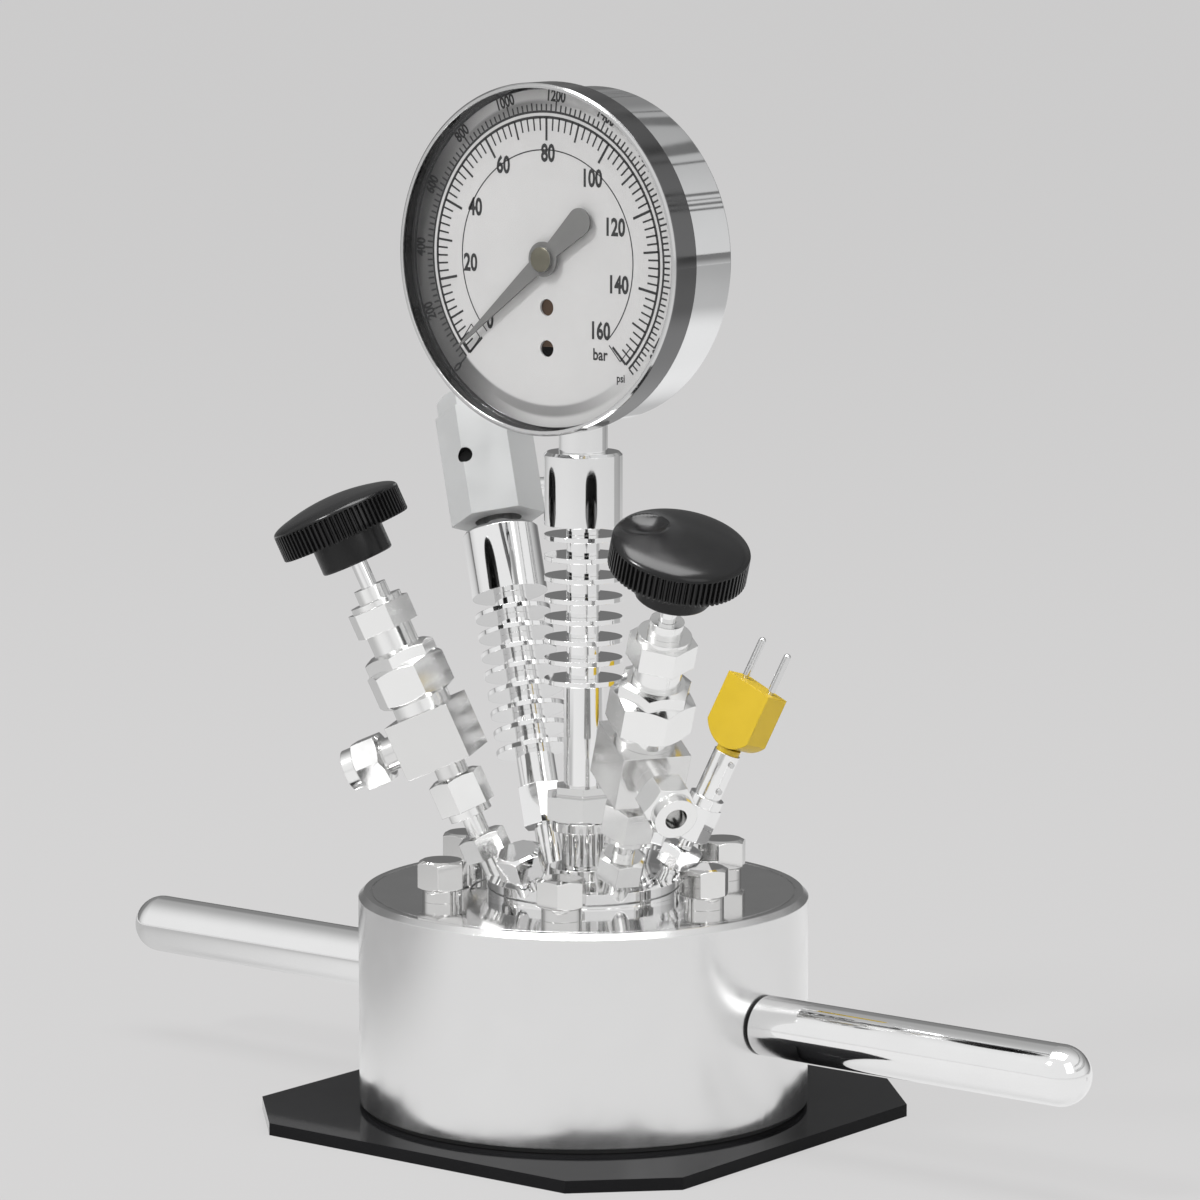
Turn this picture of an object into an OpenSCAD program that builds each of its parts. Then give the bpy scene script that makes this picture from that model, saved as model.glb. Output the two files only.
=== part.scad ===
// Small hydrothermal reactor: screwed pressure closure with two bar handles, six thrust bolts and
// six leaning ports around an upright finned tube that carries a dial pressure gauge.
// Millimetres. Origin at the bottom centre of the base plate, +Z up, the bar handles lie along X.

/* [Base plate] */
// width of the square plate
plate_w = 147.8; // [120:0.2:200]
// thickness of the plate
plate_t = 3.4; // [2:0.1:8]
// length cut from each corner, along the edges
plate_cut = 22.2; // [5:0.1:40]
// thickness of the black glide ring under the closure nut
glide_t = 1.4; // [0.8:0.1:3]
// radial width of the glide ring
glide_w = 6; // [3:0.5:7]

/* [Closure nut] */
// outside diameter of the nut
nut_d = 125; // [112:0.5:160]
// height of the nut
nut_h = 58.7; // [50:0.1:80]
// bevel at the top edge
nut_bevel = 1.5; // [0.5:0.1:3]
// diameter of the opening around the head
nut_bore_d = 63; // [60:0.5:70]
// diameter of the fine groove turned in the top face
groove_d = 117.6; // [104:0.2:120]
// width of that groove
groove_w = 0.6; // [0.3:0.1:1.5]
// diameter of the bar handles
bar_d = 16.5; // [10:0.1:24]
// length of a handle from the nut wall to its tip
bar_len = 104; // [60:1:180]
// height of the handle axis above the nut's lower face
bar_z = 28.8; // [15:0.1:40]
// length of a handle's threaded spigot inside the nut wall
bar_spigot = 10; // [4:0.5:12]

/* [Thrust bolts] */
// number of thrust bolts
bolt_n = 6; // [3:1:8]
// bolt circle diameter
bolt_circle = 83.6; // [76:0.2:92]
// width across flats of a bolt head
bolt_af = 12.5; // [8:0.1:14]
// height of a bolt head
bolt_head_h = 8.2; // [4:0.1:12]
// diameter of the plain shank
bolt_shank_d = 11; // [8.5:0.1:13]
// plain shank showing between nut and head
bolt_stand = 3.2; // [1:0.1:8]
// thread diameter of a bolt
bolt_thread_d = 9.6; // [6:0.1:10]

/* [Vessel and head] */
// thread diameter of the vessel inside the nut
vessel_d = 96; // [90:0.5:100]
// height of the vessel body
vessel_h = 36; // [28:0.5:44]
// bore of the vessel
vessel_bore = 54; // [44:0.5:56]
// thickness of the vessel floor
vessel_floor = 6; // [4:0.5:10]
// wall of the chamber liner
liner_wall = 2.5; // [1.5:0.1:4]
// thickness of the head flange under the thrust ring
head_flange_h = 10; // [6:0.5:12]
// diameter of the raised disc on the head
head_disc_d = 54; // [46:0.5:58]
// height of the raised disc above the nut's top face
head_disc_h = 3.7; // [2:0.1:8]
// thickness of the thrust ring
thrust_h = 4; // [2:0.5:5]
// width of the seal ring
seal_w = 5; // [3:0.5:6]
// thickness of the seal ring
seal_h = 1.4; // [1:0.1:2]

/* [Ports] */
// distance of the port axes from the centre line, at the port datum
port_r = 25; // [22:0.5:28]
// lean of the port axes away from the upright
port_tilt = 24.1; // [15:0.1:30]
// height of the port datum above the nut's top face
port_rise = 5.75; // [4:0.05:8]
// diameter of a fitting's threaded tail in the head
tail_d = 7; // [5:0.1:8]
// length of a threaded tail below the port datum
tail_len = 12; // [8:0.5:16]
// bore from a tail down to the chamber
duct_d = 3.2; // [2:0.1:4]

/* [Needle valves] */
// knob diameter
knob_d = 37.2; // [28:0.2:50]
// height of the knob's ribbed rim
knob_rim_h = 8.6; // [5:0.1:14]
// height of the knob's domed crown
knob_dome_h = 3.3; // [1.5:0.1:6]
// diameter of the knob's hub
knob_hub_d = 20.7; // [12:0.1:26]
// height of the knob's hub
knob_hub_h = 7.8; // [4:0.1:12]
// valve spindle diameter
spindle_d = 4.6; // [3:0.1:6]
// spindle showing between gland and knob
spindle_show = 7.5; // [4:0.1:14]
// width of the square valve block
block_w = 19.5; // [17:0.1:26]
// height of the valve block
block_h = 16; // [14.5:0.1:24]
// width across flats of the bonnet hexagon
bonnet_af = 20.5; // [17:0.1:24]
// width across flats of the gland hexagon
gland_af = 16.2; // [14:0.1:18]
// width across flats of the lower tube nut
lower_af = 14; // [12:0.1:17]
// width across flats of the adapter hexagon in the head
adapter_af = 12; // [10:0.1:12.4]
// tube between adapter and valve
valve_tube_d = 6; // [4:0.1:7.5]
// width across flats of the side nut
side_af = 13.3; // [11:0.1:14]
// outside diameter of the side nut's end ring
side_ring_d = 12; // [9:0.1:12.6]
// bore of the side port
side_bore = 6.1; // [3:0.1:7]
// turn of the left valve about its own axis
left_turn = -6.4; // [-15:0.1:15]

/* [Finned tubes] */
// fin diameter
fin_d = 21.6; // [16:0.1:26]
// fin thickness
fin_t = 1.4; // [0.8:0.1:2.5]
// distance from fin to fin
fin_pitch = 5.715; // [4:0.005:8]
// number of fins
fin_n = 8; // [3:1:10]
// diameter of the finned core
core_d = 9.2; // [7:0.1:12]
// diameter of the plain tube below the fins
tube_d = 10.9; // [10:0.1:13]
// height of the polished collar above the fins
collar_h = 20.2; // [10:0.1:30]
// height of the collar above the relief riser's fins
relief_collar_h = 19.5; // [10:0.1:30]
// plain tube of the gauge riser below its last fin
riser_plain = 28.8; // [20:0.1:45]
// plain tube of the relief riser below its last fin
relief_plain = 10; // [5:0.1:20]
// width across flats of the union nut under the gauge riser
union_af = 20; // [17:0.1:24]
// height of that union nut
union_h = 7.5; // [5:0.1:12]

/* [Relief head] */
// width across flats of the hexagonal relief body
relief_af = 23.5; // [20:0.1:30]
// height of the relief body
relief_h = 32.5; // [24:0.5:45]
// height of the relief body's cap
relief_cap_h = 6; // [3:0.5:10]
// vent hole in the relief body
vent_d = 4.2; // [2:0.1:6]

/* [Thermocouple] */
// width of the connector block
conn_w = 17.4; // [14:0.1:24]
// thickness of the connector block
conn_t = 7.4; // [6:0.1:12]
// height of the connector block
conn_h = 19; // [14:0.1:26]
// diameter of the contact pins
pin_d = 2.1; // [1.5:0.1:3]
// free length of the contact pins
pin_len = 12.3; // [6:0.1:16]
// spacing of the contact pins
pin_gap = 10.8; // [6:0.1:12]
// diameter of the clamp tube
clamp_d = 7.5; // [6:0.1:9]
// turn of the connector about the probe axis
conn_turn = -39.5; // [-90:0.5:90]
// diameter of the probe sheath
probe_d = 3; // [2:0.1:3.1]

/* [Pressure gauge] */
// outside diameter of the bezel
bezel_d = 95.6; // [70:0.2:120]
// depth of the bezel from front to back
bezel_h = 9.3; // [8:0.1:14]
// outside diameter of the case
case_d = 91.6; // [66:0.2:116]
// depth of the case behind the bezel
case_h = 18; // [15:0.5:30]
// height of the gauge centre above the collar of the riser
gauge_rise = 53.9; // [50:0.1:66]
// distance of the bezel's back edge in front of the riser axis
gauge_front = 12; // [10:0.1:20]
// thickness of the gauge window
window_t = 1.2; // [0.8:0.1:1.4]
// pointer length from hub to tip
pointer_len = 38.7; // [20:0.1:40]
// angle of the pointer above zero, unloaded
pointer_rest = 4.5; // [0:0.5:10]
// dial thickness
dial_t = 0.7; // [0.5:0.1:1.5]
// diameter of the gauge socket below the case
socket_d = 13.4; // [9:0.1:16]

/* [Hidden] */
$fn = 96;
eps = 0.01;
run_gap = 0.05;
sink = 0.5;
hex_n = 6;
deg60 = 60;
deg45 = 45;
c30 = cos(30);
wall = 1.2;
steel = [0.80, 0.81, 0.82];
dark_steel = [0.32, 0.32, 0.33];
black = [0.06, 0.06, 0.06];
white = [0.94, 0.94, 0.93];
// closure heights
nut_z0 = plate_t + glide_t + run_gap;
nut_z1 = nut_z0 + nut_h;
web_z0 = plate_t + vessel_h + head_flange_h + thrust_h + run_gap;
seal_z = plate_t + vessel_h - seal_h;
seal_r0 = vessel_bore / 2 + 1.6;
flange_d = vessel_d - 6;
boss_d = nut_bore_d - 2 * 0.3;
pocket_d = vessel_d + 2 * run_gap;
thrust_z = plate_t + vessel_h + head_flange_h;
thrust_bore = boss_d + 2 * run_gap;
head_top = nut_z1 + head_disc_h;
head_step = nut_z1 - 0.3;
screw_d = 5;
screw_head_d = 9.6;
screw_head_h = 2.3;
screw_in = 3.6;
screw_r = vessel_d / 2 - 8;
screw_n = 4;
// port frame
port_z = nut_z1 + port_rise;
port_first = 30;
tc_k = 0;
rear_k = 1;
relief_k = 2;
left_k = 3;
front_k = 4;
right_k = 5;
duct_len = (port_z - plate_t - vessel_h) / cos(port_tilt) + duct_d;
// valve stack along the port axis
s_adapt = 3.2;
adapt_h = 7;
s_tube = s_adapt + adapt_h;
tube_show = 5.6;
s_ring = s_tube + tube_show;
ring_h = 2.2;
ring_d = 12.3;
s_lower = s_ring + ring_h;
lower_h = 10;
s_neck = s_lower + lower_h;
neck_h = 4;
neck_d = 9.1;
s_block = s_neck + neck_h;
s_collar = s_block + block_h;
vcollar_h = 3.5;
vcollar_d = 16.4;
s_bonnet = s_collar + vcollar_h;
bonnet_h = 11.3;
s_step = s_bonnet + bonnet_h;
step_h = 3.9;
step_af = bonnet_af - 2.4;
s_stem = s_step + step_h;
stem_h = 6;
stem_d = 13.2;
s_gland = s_stem + stem_h;
gland_h = 7.1;
s_gtop = s_gland + gland_h;
gtop_h = 1.6;
gtop_d = gland_af - 1.5;
s_gpipe = s_gtop + gtop_h;
gpipe_h = 4.1;
gpipe_d = 9.3;
s_gend = s_gpipe + gpipe_h;
s_hub = s_gend + spindle_show;
s_rim = s_hub + knob_hub_h;
s_dome = s_rim + knob_rim_h;
dome_r = (pow(knob_d / 2, 2) + pow(knob_dome_h, 2)) / (2 * knob_dome_h);
dimple_r = 8;
dimple_at = knob_d / 2 - 6;
dimple_dp = 1.9;
left_dimple = 270;
right_dimple = 228;
needle_h = 2.2;
needle_tip_d = 1;
seat_h = 1;
way_rise = 1.8;
s_seat = s_block + block_h / 2;
s_needle = s_seat + seat_h + run_gap;
side_neck = 5.6;
side_neck_d = 9.6;
side_nut_h = 8.6;
side_ring_h = 3.3;
side_x0 = block_w / 2;
side_x1 = side_x0 + side_neck;
side_x2 = side_x1 + side_nut_h;
valve_way = 3;
// finned tubes
riser_tail = 9;
base_ring_d = 19;
base_ring_h = 3;
union_neck_d = 12;
union_neck_h = 10.2;
union_skirt_d = 17.6;
union_skirt_h = 2.6;
union_top_d = 17;
union_top_h = 2.4;
centre_tail_d = 12;
u_z0 = head_top + base_ring_h;
u_z1 = u_z0 + union_neck_h;
u_z2 = u_z1 + union_skirt_h;
u_z3 = u_z2 + union_h;
u_z4 = u_z3 + union_top_h;
fin0_z = u_z4 + riser_plain;
fins_h = (fin_n - 1) * fin_pitch;
collar_gap = 2.6;
relief_collar_gap = 5;
collar_edge = 0.8;
collar_z0 = fin0_z + fins_h + fin_t + collar_gap;
collar_z1 = collar_z0 + collar_h;
bore_d = 3;
relief_z0 = s_adapt + 4.8;
relief_nut_h = 11.5;
relief_fin0 = relief_z0 + relief_nut_h + relief_plain;
relief_collar0 = relief_fin0 + fins_h + fin_t + relief_collar_gap;
relief_top = relief_collar0 + relief_collar_h;
relief_gap = 2.9;
relief_neck_d = 8;
recess_d = 13.4;
recess_h = 3;
pocket_h = 8;
body_turn = 6;
vent_face = 150;
vent_side = -6.1;
vent_at = 17.5;
vent_depth = 4;
cap_inset = 0.9;
disc_h = 0.4;
disc_d = 14;
outlet_face = 270;
outlet_at = 9.5;
outlet_d = 6;
outlet_len = 7;
outlet_root = 4;
// thermocouple stack
tc_ring_d = 8;
tc_thread_d = 5.6;
tc_thread_h = 4.3;
tc_af = 11;
tc_hex_h = 6;
tc_link_d = 4.4;
tc_link_h = 2.5;
tc_nut_af = 9.5;
tc_nut_h = 10.2;
tc_collar_d = 9.8;
tc_collar_h = 2.8;
clamp_h = 13.5;
clamp_hole_d = 4.6;
cring_d = 6.7;
cring_h = 1.5;
t_z0 = -2.3;
t_z1 = t_z0 + tc_thread_h;
t_z2 = t_z1 + tc_hex_h;
t_z3 = t_z2 + tc_link_h;
t_z4 = t_z3 + tc_nut_h;
t_z5 = t_z4 + tc_collar_h;
t_z6 = t_z5 + clamp_h;
t_z7 = t_z6 + cring_h;
t_z8 = t_z7 + conn_h;
pin_in = 6;
pin_root_d = 1.4;
pin_neck = 0.7;
probe_tip = (port_z - plate_t - vessel_floor - 8) / cos(port_tilt);
dip_tip = (port_z - plate_t - vessel_floor - 14) / cos(port_tilt);
dip_d = duct_d;
screw2_d = 1.6;
screw2_out = 0.7;
screw2_a = 3;
screw2_b = 11.2;
screw2_turn = 310;
// plugs
plug_z = 3.6;
plug_h = 6.8;
plug_af = 12;
// gauge
gauge_z = collar_z1 + gauge_rise;
b_back = -gauge_front;
b_front = b_back - bezel_h;
case_back = b_back + case_h;
lip_t = 0.8;
lip_w = 1.4;
bezel_bevel = 0.6;
lip_hold = 0.4;
bez_in = bezel_d / 2 - lip_w + lip_hold;
win_y = b_front + lip_t;
lap = 3.3;
dial_y = b_back - lap - dial_t;
pointer_y = dial_y - 1.9;
zero_at = 135;
pointer_t = 0.5;
hub_d = 9.6;
hub_cap_d = 6.9;
hub_cap_h = 0.9;
needle_w = 5;
tip_w = 0.5;
tail_w = 3.6;
tail_end_w = 7.6;
tail_len2 = 16.4;
hole_1 = 13.2;
hole_2 = 24.4;
dial_hole_d = 4.6;
spindle2_d = 1.6;
socket_in_d = 9;
socket_h = gauge_rise - case_d / 2 - 0.6;
tube_r = 28;
tube_back = 9;
tube_y = b_back + tube_back;
tube_w = 5;
move_w = 20;
mount_r = tube_r - 4;
move_h = 9;
foot_h = 2;

// hexagonal bar, optionally with the corners turned off at the top and bottom
module hexa(af, h) { cylinder(d = af / c30, h = h, $fn = hex_n); }
module hex_cut(af, h, top, low) {
  c = af * 0.07;
  lo = low ? c : 0;
  hi = top ? c : 0;
  big = af / c30 + 2 * eps;
  intersection() {
    hexa(af, h);
    union() {
      translate([0, 0, lo]) cylinder(d = big, h = h - lo - hi);
      if (top) translate([0, 0, h - hi]) cylinder(d1 = big, d2 = big - 4 * c, h = hi);
      if (low) cylinder(d1 = big - 4 * c, d2 = big, h = lo);
    }
  }
}
module bore(d, z0, z1) { translate([0, 0, z0 - eps]) cylinder(d = d, h = z1 - z0 + 2 * eps); }
module at_port(k) {
  rotate([0, 0, port_first + k * deg60]) translate([port_r, 0, port_z]) rotate([0, port_tilt, 0])
    children();
}
module face_y(y) { translate([0, y, gauge_z]) rotate([-90, 0, 0]) children(); }
module around(n, r, a0) {
  for (i = [0 : n - 1]) rotate([0, 0, a0 + i * 360 / n]) translate([r, 0, 0]) children();
}

// ---- base and vessel
module base_plate() color(black) difference() {
  translate([-plate_w / 2, -plate_w / 2, 0]) cube([plate_w, plate_w, plate_t]);
  for (a = [0 : 3]) rotate([0, 0, deg45 + 90 * a])
    translate([(plate_w - plate_cut) / sqrt(2), -plate_w, -plate_t])
      cube([plate_w, 2 * plate_w, 3 * plate_t]);
  around(screw_n, screw_r, deg45) {
    bore(screw_d, 0, plate_t);
    bore(screw_head_d, 0, screw_head_h);
  }
}
module base_screws() color(dark_steel) around(screw_n, screw_r, deg45) {
  cylinder(d = screw_head_d, h = screw_head_h);
  cylinder(d = screw_d, h = plate_t + screw_in);
}
module glide_ring() color(black) translate([0, 0, plate_t]) difference() {
  cylinder(d = nut_d - 2 * nut_bevel, h = glide_t);
  bore(nut_d - 2 * nut_bevel - 2 * glide_w, 0, glide_t);
}
module vessel_body() color(steel) difference() {
  translate([0, 0, plate_t]) cylinder(d = vessel_d, h = vessel_h);
  bore(vessel_bore, plate_t + vessel_floor, plate_t + vessel_h);
  translate([0, 0, seal_z]) difference() {
    cylinder(r = seal_r0 + seal_w, h = seal_h + 1);
    cylinder(r = seal_r0, h = seal_h + 1);
  }
  around(screw_n, screw_r, deg45) bore(screw_d, plate_t, plate_t + screw_in);
}
module liner() color(white) translate([0, 0, plate_t + vessel_floor]) difference() {
  cylinder(d = vessel_bore, h = vessel_h - vessel_floor);
  bore(vessel_bore - 2 * liner_wall, liner_wall, vessel_h - vessel_floor);
}
module seal_ring() color(white) translate([0, 0, seal_z]) difference() {
  cylinder(r = seal_r0 + seal_w, h = seal_h);
  bore(2 * seal_r0, 0, seal_h);
}
module head() color(steel) difference() {
  union() {
    translate([0, 0, plate_t + vessel_h]) cylinder(d = flange_d, h = head_flange_h);
    translate([0, 0, plate_t + vessel_h]) cylinder(d = boss_d, h = head_step - plate_t - vessel_h);
    translate([0, 0, head_step - eps]) cylinder(d = head_disc_d, h = head_top - head_step + eps);
  }
  for (k = [0 : 5]) at_port(k) {
    bore(tail_d, -tail_len, tail_len);
    bore(duct_d, -duct_len, -tail_len);
  }
  bore(bore_d, plate_t + vessel_h, head_top);
  bore(centre_tail_d, head_top - riser_tail, head_top);
}
module thrust_ring() color(steel) translate([0, 0, thrust_z]) difference() {
  cylinder(d = flange_d, h = thrust_h);
  bore(thrust_bore, 0, thrust_h);
}
module closure_nut() color(steel) difference() {
  union() {
    translate([0, 0, nut_z0]) cylinder(d = nut_d, h = nut_h - nut_bevel);
    translate([0, 0, nut_z1 - nut_bevel]) cylinder(d1 = nut_d, d2 = nut_d - 2 * nut_bevel, h = nut_bevel);
  }
  bore(pocket_d, nut_z0, web_z0);
  bore(nut_bore_d, web_z0, nut_z1);
  translate([0, 0, nut_z1 - groove_w]) difference() {
    cylinder(d = groove_d + groove_w, h = 2 * groove_w);
    translate([0, 0, -eps]) cylinder(d = groove_d - groove_w, h = 3 * groove_w);
  }
  around(bolt_n, bolt_circle / 2, 0) bore(bolt_thread_d, web_z0, nut_z1);
  for (a = [0, 180]) rotate([0, 0, a]) translate([nut_d / 2 - bar_spigot, 0, nut_z0 + bar_z])
    rotate([0, 90, 0]) cylinder(d = bar_d * 0.7, h = bar_spigot + 1);
}
module bar_handle() translate([nut_d / 2, 0, nut_z0 + bar_z]) rotate([0, 90, 0]) {
  difference() {
    union() {
      translate([0, 0, -1]) cylinder(d = bar_d, h = bar_len - bar_d / 2 + 1);
      translate([0, 0, bar_len - bar_d / 2]) sphere(d = bar_d);
    }
    translate([0, 0, -nut_d / 2]) rotate([0, -90, 0]) translate([0, 0, -bar_d])
      cylinder(d = nut_d, h = 2 * bar_d);
  }
  translate([0, 0, -bar_spigot]) cylinder(d = bar_d * 0.7, h = bar_spigot + 1);
}
module handle_right() color(steel) bar_handle();
module handle_left() color(steel) rotate([0, 0, 180]) bar_handle();
module thrust_bolts() color(steel) around(bolt_n, bolt_circle / 2, 0) {
  translate([0, 0, web_z0]) cylinder(d = bolt_thread_d, h = nut_z1 - web_z0);
  translate([0, 0, nut_z1]) cylinder(d = bolt_shank_d, h = bolt_stand);
  translate([0, 0, nut_z1 + bolt_stand]) hex_cut(bolt_af, bolt_head_h, true, true);
}
module dip_tube() color(steel) at_port(left_k) difference() {
  translate([0, 0, -dip_tip]) cylinder(d = dip_d, h = dip_tip - tail_len);
  bore(dip_d / 2, -dip_tip, -tail_len);
}

// ---- gauge riser and union
module union_base() color(steel) difference() {
  union() {
    translate([0, 0, head_top - riser_tail]) cylinder(d = centre_tail_d, h = riser_tail);
    translate([0, 0, head_top]) cylinder(d = base_ring_d, h = base_ring_h);
    translate([0, 0, u_z0]) cylinder(d = union_neck_d, h = u_z2 - u_z0);
  }
  bore(bore_d, head_top - riser_tail, u_z2);
}
module union_nut() color(steel) difference() {
  union() {
    translate([0, 0, u_z1]) cylinder(d = union_skirt_d, h = union_skirt_h + sink);
    translate([0, 0, u_z2]) rotate([0, 0, 8]) hex_cut(union_af, union_h, false, true);
    translate([0, 0, u_z3 - sink]) rotate([0, 0, 8]) hexa(union_top_d * c30, union_top_h + sink);
  }
  bore(union_neck_d, u_z1, u_z2);
  bore(tube_d, u_z2, u_z4);
}
// plain tube from z0, fins from f0, polished collar with a softened top edge from c0 to c1
module finned(z0, f0, c0, c1) {
  translate([0, 0, z0]) cylinder(d = tube_d, h = f0 - z0);
  translate([0, 0, f0]) cylinder(d = core_d, h = c0 - f0);
  for (i = [0 : fin_n - 1]) translate([0, 0, f0 + i * fin_pitch]) cylinder(d = fin_d, h = fin_t);
  translate([0, 0, c0]) cylinder(d = fin_d, h = c1 - c0 - collar_edge);
  translate([0, 0, c1 - collar_edge]) cylinder(d1 = fin_d, d2 = fin_d - 2 * collar_edge, h = collar_edge);
}
module gauge_riser() color(steel) difference() {
  finned(u_z2, fin0_z, collar_z0, collar_z1);
  bore(bore_d, u_z2, collar_z1 - riser_tail);
  bore(socket_in_d, collar_z1 - riser_tail, collar_z1);
}

// ---- gauge
module gauge_socket() color(steel) difference() {
  union() {
    translate([0, 0, collar_z1 - riser_tail])
      cylinder(d = socket_in_d, h = gauge_rise + riser_tail - mount_r);
    translate([0, 0, collar_z1]) cylinder(d = socket_d, h = socket_h);
  }
  bore(bore_d, collar_z1 - riser_tail, gauge_z - tube_r);
}
module bourdon_tube() color([0.70, 0.56, 0.32]) difference() {
  face_y(tube_y) rotate([0, 0, 92]) rotate_extrude(angle = 250) translate([tube_r, 0]) circle(d = tube_w);
  translate([0, 0, collar_z1]) cylinder(d = socket_in_d, h = gauge_rise - mount_r);
}
module gauge_movement() color([0.74, 0.62, 0.38]) difference() {
  union() {
    face_y(dial_y + dial_t) cylinder(d = move_w, h = move_h);
    translate([-socket_in_d / 2, dial_y + dial_t, gauge_z - mount_r]) cube([socket_in_d, wall, mount_r]);
    translate([-socket_in_d / 2, dial_y + dial_t, gauge_z - mount_r])
      cube([socket_in_d, -dial_y - dial_t, foot_h]);
  }
  face_y(dial_y) cylinder(d = spindle2_d + 2 * run_gap, h = move_h / 2);
}
module gauge_case() color(steel) difference() {
  face_y(b_back - lap) cylinder(d = case_d, h = case_back - b_back + lap);
  face_y(b_back - lap - eps) cylinder(d = case_d - 2 * wall, h = case_back - b_back + lap - wall);
  translate([0, 0, gauge_z - case_d / 2 - 2]) cylinder(d = socket_in_d, h = 10);
}
module gauge_dial() color(white) face_y(dial_y) difference() {
  cylinder(r = case_d / 2, h = dial_t);
  bore(spindle2_d + 2 * run_gap, 0, dial_t);
  for (y = [hole_1, hole_2]) translate([0, y, 0]) bore(dial_hole_d, 0, dial_t);
}
module blade(x0, x1, w0, w1) {
  linear_extrude(pointer_t) polygon([[x0, w0 / 2], [x1, w1 / 2], [x1, -w1 / 2], [x0, -w0 / 2]]);
}
module gauge_pointer() color([0.5, 0.5, 0.5]) {
  face_y(pointer_y) rotate([0, 0, zero_at + pointer_rest]) {
    cylinder(d = hub_d, h = pointer_t);
    blade(0, pointer_len, needle_w, tip_w);
    blade(0, -tail_len2, tail_w, tail_end_w);
    translate([-tail_len2, 0, 0]) cylinder(d = tail_end_w, h = pointer_t);
  }
  face_y(pointer_y - hub_cap_h) cylinder(d = hub_cap_d, h = hub_cap_h);
  face_y(pointer_y) cylinder(d = spindle2_d, h = dial_y - pointer_y + dial_t + move_h / 2 - 1);
}
module gauge_window() color([0.85, 0.9, 0.92, 0.3]) face_y(win_y) cylinder(r = bez_in, h = window_t);
module gauge_bezel() color(dark_steel) difference() {
  union() {
    face_y(b_front + bezel_bevel) cylinder(d = bezel_d, h = bezel_h - bezel_bevel);
    face_y(b_front) cylinder(d1 = bezel_d - 2 * bezel_bevel, d2 = bezel_d, h = bezel_bevel);
  }
  face_y(b_front - eps) cylinder(d = bezel_d - 2 * lip_w, h = lip_t + 2 * eps);
  face_y(win_y) cylinder(r = bez_in, h = dial_y - win_y);
  face_y(dial_y - eps) cylinder(d = case_d, h = b_back - dial_y + 1);
}

// ---- relief line
module relief_adapter() color(steel) at_port(relief_k) difference() {
  union() {
    translate([0, 0, -tail_len]) cylinder(d = tail_d, h = tail_len + relief_z0);
    translate([0, 0, relief_z0]) rotate([0, 0, 30]) hexa(tube_d + 0.6, relief_nut_h);
  }
  bore(duct_d, -tail_len, relief_z0 + relief_nut_h);
}
module relief_riser() color(steel) at_port(relief_k) difference() {
  union() {
    finned(relief_z0 + relief_nut_h, relief_fin0, relief_collar0, relief_top);
    translate([0, 0, relief_top]) cylinder(d = relief_neck_d, h = relief_gap + recess_h);
  }
  bore(duct_d, relief_z0 + relief_nut_h, relief_top + relief_gap + recess_h);
}
module in_relief(z) {
  at_port(relief_k) translate([0, 0, relief_top + relief_gap + z]) rotate([0, 0, body_turn]) children();
}
module relief_body() color(steel) in_relief(0) difference() {
  hexa(relief_af, relief_h);
  bore(recess_d, 0, recess_h);
  bore(duct_d, recess_h, relief_h - pocket_h);
  bore(disc_d, relief_h - pocket_h, relief_h);
  rotate([0, 0, vent_face]) translate([relief_af / 2 - vent_depth, vent_side, vent_at]) rotate([0, 90, 0])
    cylinder(d = vent_d, h = vent_depth + eps);
  rotate([0, 0, outlet_face]) translate([relief_af / 2 - outlet_root, 0, outlet_at]) rotate([0, 90, 0])
    cylinder(d = outlet_d, h = outlet_root + eps);
}
module relief_disc() color([0.6, 0.6, 0.62]) in_relief(relief_h - pocket_h) cylinder(d = disc_d, h = disc_h);
module relief_cap() color(steel) in_relief(relief_h) difference() {
  union() {
    translate([0, 0, disc_h - 8]) cylinder(d = disc_d, h = 8);
    hex_cut(relief_af - 2 * cap_inset, relief_cap_h, true, false);
  }
  bore(duct_d * 2, disc_h - 8, relief_cap_h);
}
module relief_outlet() color(steel) in_relief(outlet_at) rotate([0, 0, outlet_face])
  translate([relief_af / 2 - outlet_root, 0, 0]) rotate([0, 90, 0]) difference() {
    cylinder(d = outlet_d, h = outlet_root + outlet_len);
    bore(duct_d, 0, outlet_root + outlet_len);
  }

// ---- needle valve, drawn once and used left and right
module v_adapter() difference() {
  union() {
    translate([0, 0, -tail_len]) cylinder(d = tail_d, h = tail_len + s_adapt);
    translate([0, 0, s_adapt]) rotate([0, 0, 30]) hex_cut(adapter_af, adapt_h, true, false);
    translate([0, 0, s_tube - sink]) cylinder(d = valve_tube_d, h = sink + tube_show + ring_h + 3);
  }
  bore(valve_way, -tail_len, s_ring + ring_h + 3);
}
module v_lower_nut() difference() {
  union() {
    translate([0, 0, s_ring]) cylinder(d = ring_d, h = ring_h);
    translate([0, 0, s_lower]) rotate([0, 0, 30]) hex_cut(lower_af, lower_h, true, false);
  }
  bore(valve_tube_d, s_ring, s_lower + 3);
  bore(neck_d, s_lower + 3, s_neck);
}
module v_body() difference() {
  union() {
    translate([0, 0, s_lower + 3]) cylinder(d = neck_d, h = s_block - s_lower - 3);
    translate([-block_w / 2, -block_w / 2, s_block]) cube([block_w, block_w, block_h]);
    translate([block_w / 2 - 1, 0, s_seat]) rotate([0, 90, 0]) cylinder(d = side_neck_d, h = side_neck + 4);
  }
  bore(valve_way, s_lower + 3, s_seat);
  bore(spindle_d + 2 * run_gap, s_seat + seat_h, s_collar);
  translate([0, 0, s_seat]) cylinder(d = valve_way, h = seat_h + eps);
  translate([0, 0, s_seat + way_rise]) rotate([0, 90, 0])
    cylinder(d = valve_way / 1.5, h = block_w / 2 + side_neck + 5);
}
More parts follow.
